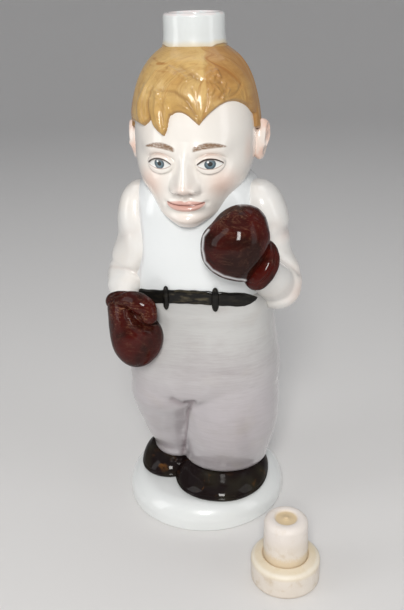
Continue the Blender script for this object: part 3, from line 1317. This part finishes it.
# The rise, half width and pixels of each padded ridge or pressed line.
FIST_LINES = {
    "right": (
        (1.5, 1.2, ((127.5, 311), (128.5, 318), (132, 324.5), (139.5, 330))),
        (-1.5, 1.1, ((132.5, 311), (136.5, 318.5), (143, 323), (150, 322.5), (158, 321.5))),
        (0.7, 2.6, ((143, 333), (150, 334))),
    ),
    "left": (
        (-0.45, 0.5, ((240, 206), (244, 211), (249, 216), (258, 220), (263, 222))),
        (-0.4, 1.8, ((269.5, 246), (266, 256), (258, 268), (249, 277), (243, 281))),
        (0.8, 6.0, ((238, 222), (243, 236), (240, 250))),
        (-0.35, 1.6, ((226, 223), (236, 221), (246, 224))),
    ),
}
RING_RADIUS, RING_SHARE, RING_AXIS = 6.7, 0.34, (0.10, -0.80, -0.60)


def store_rim(piece, points, drawn=0.0):
    """Marks where the white body shows: along a drawn rim, and where the lump meets the figure."""
    chest, seat = oval_reach(CHEST_ROWS, points), oval_reach(SEAT_ROWS, points)
    outside = (np.where(points[:, 2] > WAIST, chest, seat) - 1) * CHEST_HALVES[1]
    store(piece, "rim", np.maximum(drawn, 1 - step(outside, 0.5, 1.3)))
    return piece


def make_fist(hand):
    centre = np.array(FIST_CENTRES[hand])
    piece = egg(hand + "_fist", centre, FIST_HALVES[hand], 240, 184)
    move_points(piece, fit_outline(points_of(piece), centre, FIST_PIXELS[hand]))
    points, normals = surface_of(piece)
    rims = [hill(stroke(points, pixels), width) * strength for strength, width, pixels in FIST_RIMS[hand]]
    pressed = drawn_hills(points, FIST_LINES[hand]) * facing(normals)
    raise_surface(piece, 0.28 * lumps(points, 9, 11) + pressed)
    return store_rim(piece, points_of(smoothed(piece, 2)), np.max([0 * pressed, *rims], axis=0))


def squared(values, power):
    """Values of either sign raised to a power below one, which makes a round form squarer."""
    return np.sign(values) * np.abs(values) ** power


def make_left_cuff():
    """A rolled cuff: a barrel with round edges and a seam round its middle."""
    axis = unit(np.array(FIST_CENTRES["left"]) - LEFT_CUFF)
    centre = LEFT_CUFF + 4.0 * axis
    piece = egg("left_cuff", (0, 0, 0), (1, 1, 1), 224, 144)
    ball = points_of(piece)
    along = squared(ball[:, 2], 0.75)
    turn = polar(ball)[0]
    puff = 0.006 * np.sin(7 * turn) + 0.004 * np.sin(13 * turn + 1)
    seam = 0.030 * hill(along - 0.30, 0.10)
    radius = np.sqrt(np.clip(1 - ball[:, 2] ** 2, 0, 1)) ** 0.42 * (1 + puff - seam)
    ring = ring_about(axis, (0, 0, 1), turn) * (radius * CUFF_RADIUS)[:, None]
    points = centre + np.outer(along * LEFT_CUFF_LENGTH / 2, axis) + ring
    points = fit_outline(points, centre, LEFT_CUFF_PIXELS) + 2.8 * VIEW_AXES[:, 2]
    return store_rim(move_points(piece, points), points)


def make_right_cuff():
    """The right cuff is seen end on: a thin roll round the wrist, tipped towards the camera."""
    bpy.ops.object.select_all(action="DESELECT")
    sizes = {"major_radius": 1, "minor_radius": RING_SHARE}
    bpy.ops.mesh.primitive_torus_add(major_segments=160, minor_segments=40, **sizes)
    piece = bpy.context.active_object
    piece.name = "right_cuff"
    points, normals = surface_of(piece)
    points *= MM * RING_RADIUS
    points += 0.10 * lumps(points, 3, 14)[:, None] * normals
    turned = Vector(RING_AXIS).to_track_quat("Z", "Y").to_matrix()
    points = points @ np.array(turned).T + np.array(RIGHT_CUFF)
    return store_rim(move_points(piece, points), points)


def make_thumb():
    path = []
    for pixel, depth in zip(THUMB_PIXELS, THUMB_DEPTHS):
        ahead = ray_through(pixel)
        path.append(VIEW_POINT + ahead * (depth - VIEW_POINT[1]) / ahead[1])
    piece = limb("right_thumb", path, THUMB_RADII, 120, 120)
    points, normals = surface_of(piece)
    seam = 0.6 * hill(stroke(points, THUMB_SEAM_PIXELS), 0.6) * facing(normals)
    return store_rim(raise_surface(piece, 0.20 * lumps(points, 5, 2) - seam), points)


def glove_paint():
    finish = Finish("glove_glaze")
    strokes = finish.cloud(0.30, 5.0, 0.66, (0.5, 0.8, 0.9), 1.8)
    pools = finish.cloud(0.06, 2.0, distortion=0.6)
    hairs = finish.cloud(1.3, 4.0, 0.6, (0.16, 0.45, 1.0), 1.4)
    finish.colour = pools.rise(0.34, 0.64).over((0.056, 0.0058, 0.004), (0.020, 0.005, 0.0035))
    top = finish.z.rise(WAIST + 38.0, WAIST + 50.0) * 0.40
    wrist = finish.z.spot(WAIST - 4.0, 13.0) * 0.55
    thin = (strokes.rise(0.46, 0.70) * 0.55 + hairs.rise(0.50, 0.72) * 0.60) * (0.30 + top + wrist)
    finish.lay(thin.rise(0.0, 1.0), (0.25, 0.125, 0.070))
    finish.lay(finish.attribute("rim") * 0.9, (0.74, 0.74, 0.75))
    return finish.glazed(DARK_GLOSS, 0.22, strokes + hairs * 0.3)


glove_glaze = glove_paint()
for hand in SIDES:
    coat(make_fist(hand), glove_glaze, "glove_glaze", hand + "_glove")
coat(make_left_cuff(), glove_glaze, "glove_glaze", "left_glove_cuff")
coat(make_right_cuff(), glove_glaze, "glove_glaze", "right_glove_cuff")
coat(make_thumb(), glove_glaze, "glove_glaze", "right_glove_thumb")

# %% [markdown]
# ## Belt
# The strap is a flat strip with rounded edges that follows the waist and narrows to a point at both
# ends, which hang a little lower. Two narrow loops stand over it.

# %% Belt and loops
BELT_HALF, BELT_TIP, BELT_DROP, BELT_HEIGHT = 32.8, 6.5, 3.2, 7.1
LOOP_SIDE = 12.4


def waist_front(x):
    """The front of the waist at a place across it."""
    return -WAIST_HALVES[1] * np.clip(1 - np.abs(x / WAIST_HALVES[0]) ** 3, 0, 1) ** (1 / 3)


def make_belt():
    piece = egg("belt_strap", (0, 0, 0), (1, 1, 1), 96, 260)
    ball = points_of(piece)
    x = (2 * rise_of(ball) - 1) * BELT_HALF
    turn = polar(ball)[0]
    taper = np.clip((BELT_HALF - np.abs(x)) / BELT_TIP, 0, 1) ** 0.75
    high = BELT_HEIGHT / 2 * taper * (1 + 0.03 * np.sin(0.9 * x))
    forward = squared(-np.cos(turn), 0.55) * 1.1 * np.clip(taper * 1.6, 0, 1)
    level = WAIST + 0.3 - BELT_DROP * (x / BELT_HALF) ** 2
    points = np.stack([x, waist_front(x) - 0.4 + forward, level + squared(np.sin(turn), 0.55) * high], 1)
    points[:, 1] += 0.10 * lumps(points, 6, 4)
    return move_points(piece, points)


def make_loop(hand):
    x = SIDES[hand] * LOOP_SIDE
    centre = (x, waist_front(x) - 1.2, WAIST - BELT_DROP * (x / BELT_HALF) ** 2)
    piece = egg(hand + "_belt_loop_lump", centre, (1, 1, 1), 80, 100)
    ball = points_of(piece) - centre
    squarer = squared(ball, np.array((0.9, 0.75, 0.85)))
    squarer[:, 0] *= 1 - 0.06 * hill(ball[:, 2], 0.3)
    return move_points(piece, squarer * (1.8 + 0.15 * SIDES[hand], 2.1, 6.3) + centre)


def belt_paint():
    finish = Finish("belt_glaze")
    brushed = finish.cloud(0.35, 4.0, 0.6, (0.45, 1, 1.6))
    between = 1.0 - (finish.x.size() - LOOP_SIDE).rise(-4.0, -2.2)
    thin = brushed.rise(0.42, 0.70) * (0.12 + between * 0.75)
    finish.colour = thin.over((0.008, 0.0075, 0.007), (0.095, 0.080, 0.050))
    return finish.glazed(DARK_GLOSS, 0.15, brushed)


belt_glaze = belt_paint()
coat(make_belt(), belt_glaze, "black_glaze", "belt")
for hand in SIDES:
    coat(make_loop(hand), belt_glaze, "black_glaze", hand + "_belt_loop")

# %% [markdown]
# ## Shoes
# Each shoe is a low oval lump under the hem with a groove above its sole. Its glaze is nearly black,
# and breaks to amber where the lump is fullest.

# %% Shoes
SHOE_SHARES = (
    (0.0, 0.0, 0.0, 0.95, 0.95, 2.2),
    (0.22, 0.0, 0.0, 1.0, 1.0, 2.2),
    (0.5, 0.01, 0.02, 0.975, 0.97, 2.1),
    (0.76, 0.02, 0.05, 0.89, 0.87, 2.0),
    (1.0, 0.03, 0.08, 0.74, 0.7, 2.0),
)
# Where each shoe's middle lies, as shares of the hips, and its half width and half depth.
SHOES = {"right": ((-0.51, 0.06), (16.8, 20.4)), "left": ((0.25, -0.19), (26.6, 30.5))}


def make_shoe(hand):
    (out, back), halves = SHOES[hand]
    rows = real_rows(SHOE_SHARES, PLINTH_TOP - 0.4, HEM + 0.4, *halves)
    rows = rows + (0, out * HIP_HALVES[0], back * HIP_HALVES[1], 0, 0, 0)
    piece = oval_form(hand + "_shoe_lump", rows, 220, 160)
    points = points_of(piece)
    up = points[:, 2] - PLINTH_TOP
    welt = 0.3 * hill(up - 1.2, 0.9) - 0.5 * hill(up - 2.7, 0.45)
    return raise_surface(piece, 0.20 * lumps(points, 10, 6) + welt)


def shoe_paint():
    finish = Finish("shoe_glaze")
    pools = finish.cloud(0.09, 4.0, 0.55, distortion=0.8)
    olive = finish.cloud(0.05, 2.0).rise(0.46, 0.70) * 0.25
    finish.colour = olive.over((0.010, 0.006, 0.006), (0.060, 0.058, 0.030))
    finish.lay(pools.rise(0.58, 0.72) * finish.z.spot(PLINTH_TOP + 7.0, 5.0) * 0.6, (0.20, 0.085, 0.022))
    return finish.glazed(SHOE_GLOSS, 0.18, pools)


shoe_glaze = shoe_paint()
for hand in SIDES:
    coat(make_shoe(hand), shoe_glaze, "black_glaze", hand + "_shoe")

# %% [markdown]
# ## Stopper
# Cap and plug are old moulded plastic, so they are matte, stained and scratched. A groove runs round
# the root of the plug, with a thin upright lip outside it, and the plug's end is a shallow dish with
# the small nub of its mould gate.

# %% Stopper
STOPPER_FOOT = (51.5, -71.1)
CAP_RADIUS, CAP_HEIGHT, PLUG_RADIUS, PLUG_TOP = 17.2, 14.2, 11.0, 35.9
SEAT_DEPTH, PLUG_ROUNDING, LIP = 6.0, 3.4, PLUG_RADIUS + 0.45
# The cap's shoulder, lip and groove: how far from the wall or lip, and how far below the cap's top.
CAP_SHOULDER = ((0, 2.7), (-0.15, 2.1), (-1.1, 1.2), (-1.6, 0.85))
CAP_LIP = ((1.9, 0.35), (0.9, 0.15), (0.55, 0), (0.15, 0.05), (0, 0.3), (0, 0.6), (-0.2, 0.8), (-0.45, 0.8))
# The dish and nub in the plug's end: the radius, and how far below the plug's top.
PLUG_DISH = ((6.2, 0), (5.9, 0.12), (5.5, 0.65), (4.9, 0.8), (1.8, 0.8), (1.5, 0.6), (1.1, 0.35), (0, 0.3))


def make_cap():
    outline = [(0, 0), (CAP_RADIUS - 2.5, 0)] + arc((CAP_RADIUS - 0.9, 0.9), 0.9, -90, 0, 6)
    outline += [(CAP_RADIUS, 4.0), (CAP_RADIUS, 8.0)]
    outline += [(CAP_RADIUS + out, CAP_HEIGHT - down) for out, down in CAP_SHOULDER]
    outline += [(LIP + out, CAP_HEIGHT - down) for out, down in CAP_LIP]
    outline += [(PLUG_RADIUS, CAP_HEIGHT - SEAT_DEPTH), (0, CAP_HEIGHT - SEAT_DEPTH)]
    piece = spun("stopper_cap_worn", outline, STOPPER_FOOT, 160)
    sharp = {"limit_method": "ANGLE", "angle_limit": math.radians(25)}
    finish_with(piece, "BEVEL", width=0.12 * MM, segments=2, **sharp)
    return piece


def make_plug():
    outline = [(0, CAP_HEIGHT - SEAT_DEPTH)]
    outline += [(PLUG_RADIUS, CAP_HEIGHT + up) for up in (-SEAT_DEPTH, 0, 8)]
    outline += [(PLUG_RADIUS - 0.15, PLUG_TOP - PLUG_ROUNDING - 3)]
    outline += arc((PLUG_RADIUS - 0.2 - PLUG_ROUNDING, PLUG_TOP - PLUG_ROUNDING), PLUG_ROUNDING, 0, 90, 14)
    outline += [(radius, PLUG_TOP - down) for radius, down in PLUG_DISH]
    return spun("stopper_plug_worn", outline, STOPPER_FOOT, 160)


class Plastic(Finish):
    """Aged cream plastic: stained all over, and scratched."""

    def __init__(self, name):
        super().__init__(name)
        across, along = self.x - STOPPER_FOOT[0], self.y - STOPPER_FOOT[1]
        self.reach = (across * across + along * along).root()
        self.stains = self.cloud(0.16, 5.0, 0.62)
        self.blots = self.cloud(0.05, 2.0)
        self.scratches = self.cloud(0.8, 3.0, 0.7, (1.0, 1.0, 0.12))
        self.specks = self.cloud(1.6, 2.0)
        self.colour = self.blots.rise(0.35, 0.65).over((0.77, 0.705, 0.63), (0.71, 0.635, 0.55))
        self.lay(self.stains.rise(0.50, 0.74) * 0.6, (0.58, 0.46, 0.31))
        self.lay(self.scratches.rise(0.60, 0.74) * 0.30, (0.88, 0.85, 0.79))

    def worn(self):
        roughness = self.stains.rise(0.3, 0.7) * 0.18 + 0.42
        height = self.stains * 0.6 + self.scratches * 0.4 + self.specks * 0.3
        return self.glazed({"Roughness": roughness}, 0.16, height)


def plug_paint():
    """Tan in the dish and at the root, where liquor dried on it, and rubbed pale at the end."""
    finish = Plastic("plug_plastic")
    dish = (1.0 - finish.reach.rise(4.6, 6.4)) * finish.z.rise(PLUG_TOP - 3.0, PLUG_TOP - 1.5)
    finish.lay(dish * 0.85, (0.66, 0.50, 0.28))
    finish.lay((1.0 - finish.reach.rise(0.6, 1.3)) * dish * 0.8, (0.85, 0.66, 0.42))
    ragged = finish.z + (finish.stains - 0.5) * 6.0 + (finish.specks - 0.5) * 5.0
    finish.lay((1.0 - ragged.rise(CAP_HEIGHT + 2.0, CAP_HEIGHT + 6.0)) * 0.70, (0.70, 0.55, 0.34))
    pale = finish.z.rise(CAP_HEIGHT + 8.0, CAP_HEIGHT + 16.0) * (1.0 - dish)
    finish.lay(pale * 0.45, (0.84, 0.79, 0.77))
    return finish.worn()


def cap_paint():
    """Yellowed on top, brown in the groove, chalky at the edge and grimy at the foot."""
    finish = Plastic("cap_plastic")
    above = finish.z.rise(CAP_HEIGHT - 4.5, CAP_HEIGHT - 1.5) * (0.35 + finish.blots * 0.6)
    finish.lay(above, (0.76, 0.65, 0.45))
    groove = finish.reach.spot(PLUG_RADIUS + 0.5, 1.0) * finish.z.rise(CAP_HEIGHT - 3.0, CAP_HEIGHT - 2.0)
    finish.lay(groove * 0.4, (0.60, 0.45, 0.27))
    edge = finish.reach.spot(CAP_RADIUS - 1.0, 1.6) * finish.z.rise(CAP_HEIGHT - 3.2, CAP_HEIGHT - 2.2)
    finish.lay((edge + finish.specks.rise(0.62, 0.72) * 0.5) * 0.4, (0.90, 0.87, 0.80))
    finish.lay((1.0 - finish.z.rise(0.2, 1.8)) * 0.5, (0.40, 0.31, 0.22))
    return finish.worn()


coat(make_cap(), cap_paint(), "cap_plastic", "stopper_cap")
coat(make_plug(), plug_paint(), "plug_plastic", "stopper_plug")

# %% [markdown]
# ## Floor, light and backdrop
# A pale floor that curves up into a wall far away on every side, a small bright light near the camera
# as in the photograph, three weak large ones and a low grey world.

# %% Floor and lights
SWEEP_START, SWEEP_RADIUS = 1.2, 1.2
# Each light's place, what it is aimed at, its size in metres, its power and its colour.
SOFTBOXES = {
    "key": ((0.08, -0.78, 0.66), (0, 0, 0.13), (0.20, 0.30), 6.1, (1.0, 0.98, 0.95)),
    "left_wall": ((-0.85, -0.45, 0.50), (0, 0, 0.13), (0.35, 0.9), 1.8, (1, 1, 1)),
    "right_wall": ((0.85, -0.25, 0.45), (0, 0, 0.13), (0.30, 0.9), 1.0, (1, 1, 1)),
    "top": ((0.0, 0.35, 1.0), (0, 0, 0.1), (0.9, 0.5), 1.1, (1, 1, 1)),
}
WORLD_COLOUR, WORLD_STRENGTH = (0.86, 0.88, 0.92, 1), 0.42


def make_stage():
    bpy.ops.object.select_all(action="DESELECT")
    bpy.ops.mesh.primitive_grid_add(x_subdivisions=180, y_subdivisions=180, size=8)
    floor = bpy.context.active_object
    floor.name = "stage_floor"
    points = points_of(floor) * MM
    reach = polar(points)[1]
    past = np.clip(reach - SWEEP_START, 0, None)
    angle = np.minimum(past / SWEEP_RADIUS, math.pi / 2)
    drawn_in = np.minimum(reach, SWEEP_START) + SWEEP_RADIUS * np.sin(angle)
    points[:, :2] *= (drawn_in / np.maximum(reach, MM))[:, None]
    points[:, 2] = SWEEP_RADIUS * (1 - np.cos(angle)) + past - SWEEP_RADIUS * angle
    smooth_shaded(move_points(floor, points / MM))
    floor.data.materials.append(Finish("pale_floor", (0.74, 0.73, 0.72)).glazed({"Roughness": 0.8}))


make_stage()
for name, (place, aim, size, power, colour) in SOFTBOXES.items():
    bpy.ops.object.light_add(type="AREA", location=place)
    light = bpy.context.active_object
    light.name = name
    light.data.shape = "RECTANGLE"
    light.data.size, light.data.size_y = size
    light.data.energy, light.data.color = power, colour
    light.rotation_euler = (Vector(aim) - Vector(place)).to_track_quat("-Z", "Y").to_euler()
world = bpy.data.worlds.new("studio")
bpy.context.scene.world = world
world.use_nodes = True
world.node_tree.nodes["Background"].inputs["Color"].default_value = WORLD_COLOUR
world.node_tree.nodes["Background"].inputs["Strength"].default_value = WORLD_STRENGTH
bpy.context.scene.view_settings.view_transform = "Standard"
